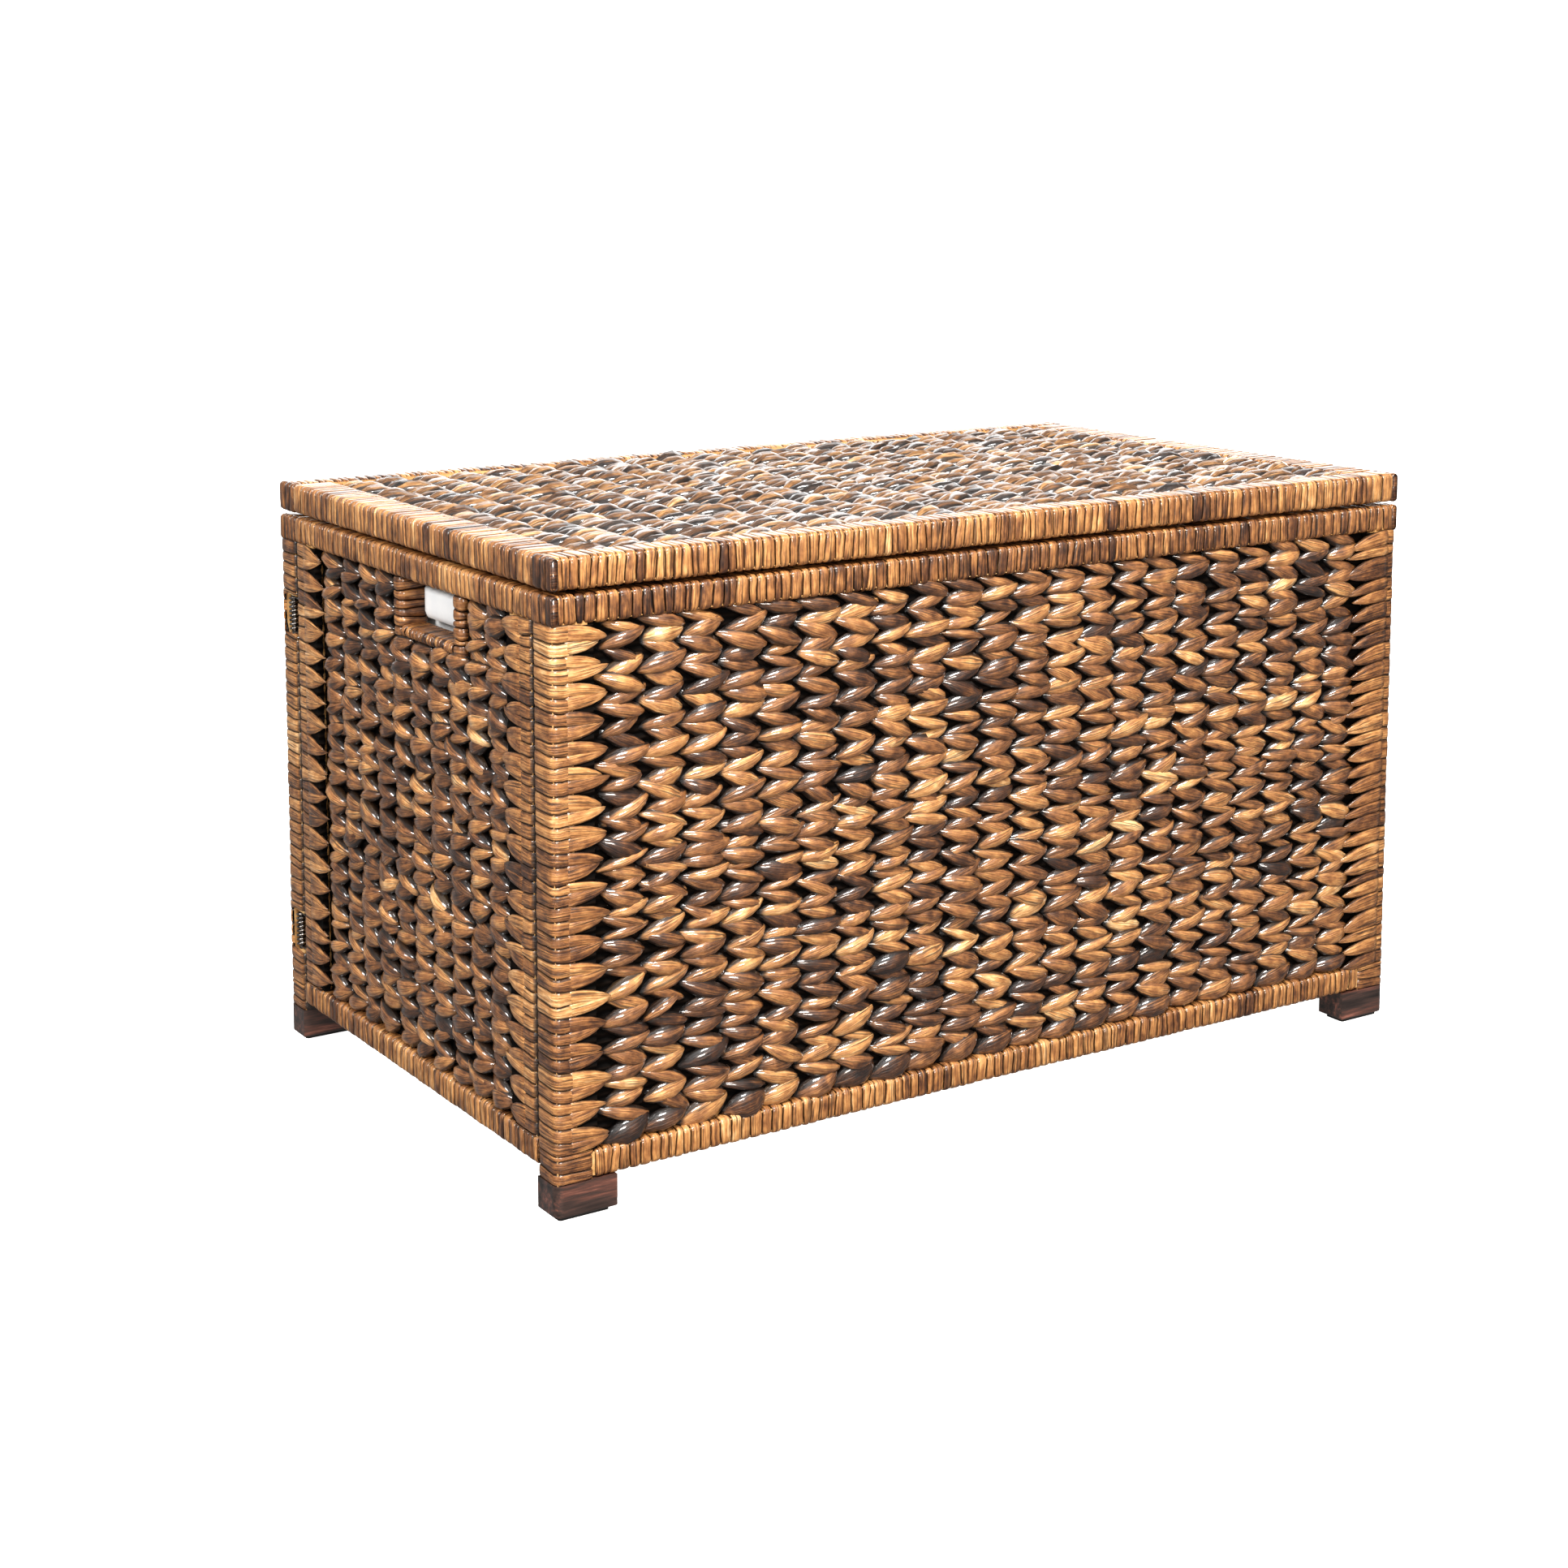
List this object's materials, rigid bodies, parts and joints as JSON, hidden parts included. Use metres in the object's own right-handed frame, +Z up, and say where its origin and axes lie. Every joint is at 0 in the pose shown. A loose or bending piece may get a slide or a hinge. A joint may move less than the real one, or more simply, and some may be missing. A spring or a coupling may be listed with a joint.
{
  "type": "wicker storage trunk",
  "caption": "Rectangular storage trunk of wrapped and twined banana leaf, with a hinged lid, a hand slot in each end, a cotton lining and low wooden feet.",
  "frame": {"origin": "on the floor, under the middle of the trunk's footprint", "axes": "+X along the trunk's length, +Y towards the hinged back, +Z up"},
  "size_m": [0.762, 0.4444, 0.4445],
  "materials": {
    "wrapped_leaf": "lacquered banana leaf strips, wrapped",
    "twined_leaf": "lacquered banana leaf cords, twined",
    "lining_cotton": "off-white woven cotton",
    "glide_plastic": "moulded black plastic",
    "stained_hardwood": "dark brown stain under lacquer",
    "frame_timber": "sawn softwood, glued",
    "floor_plywood": "sanded plywood",
    "rattan": "peeled rattan",
    "spring_steel": "dull drawn wire",
    "zinc_steel": "zinc plated"
  },
  "bodies": {
    "trunk": {"back_bottom_rail": "wrapped_leaf", "back_floor_ledge": "frame_timber", "back_frame": "frame_timber", "back_left_corner_coils": "spring_steel", "back_left_foot": "stained_hardwood", "back_left_glide": "glide_plastic", "back_left_post": "wrapped_leaf", "back_right_corner_coils": "spring_steel", "back_right_foot": "stained_hardwood", "back_right_glide": "glide_plastic", "back_right_post": "wrapped_leaf", "back_stakes": "rattan", "back_top_rail": "wrapped_leaf", "back_weave": "twined_leaf", "corner_pins": "spring_steel", "floor_board": "floor_plywood", "foot_screws": "zinc_steel", "front_bottom_rail": "wrapped_leaf", "front_floor_ledge": "frame_timber", "front_frame": "frame_timber", "front_left_corner_coils": "spring_steel", "front_left_foot": "stained_hardwood", "front_left_glide": "glide_plastic", "front_left_post": "wrapped_leaf", "front_right_corner_coils": "spring_steel", "front_right_foot": "stained_hardwood", "front_right_glide": "glide_plastic", "front_right_post": "wrapped_leaf", "front_stakes": "rattan", "front_top_rail": "wrapped_leaf", "front_weave": "twined_leaf", "ledge_screws": "zinc_steel", "left_back_post": "wrapped_leaf", "left_bottom_rail": "wrapped_leaf", "left_frame": "frame_timber", "left_front_post": "wrapped_leaf", "left_slot_trim": "wrapped_leaf", "left_stakes": "rattan", "left_top_rail": "wrapped_leaf", "left_weave": "twined_leaf", "lid_hinge_staples": "spring_steel", "liner": "lining_cotton", "right_back_post": "wrapped_leaf", "right_bottom_rail": "wrapped_leaf", "right_frame": "frame_timber", "right_front_post": "wrapped_leaf", "right_slot_trim": "wrapped_leaf", "right_stakes": "rattan", "right_top_rail": "wrapped_leaf", "right_weave": "twined_leaf", "slot_dowels": "rattan"},
    "lid": {"lid_back_rail": "wrapped_leaf", "lid_frame": "frame_timber", "lid_front_rail": "wrapped_leaf", "lid_hinge_coil_1": "spring_steel", "lid_hinge_coil_2": "spring_steel", "lid_hinge_coil_3": "spring_steel", "lid_left_rail": "wrapped_leaf", "lid_right_rail": "wrapped_leaf", "lid_stakes": "rattan", "lid_weave": "twined_leaf"}
  },
  "joints": [
    {"name": "lid_hinge", "type": "hinge", "parent": "trunk", "child": "lid", "pos_m": [0, 0.21825, 0.4205], "axis": [-1, 0, 0], "range_deg": [0, 105]}
  ]
}
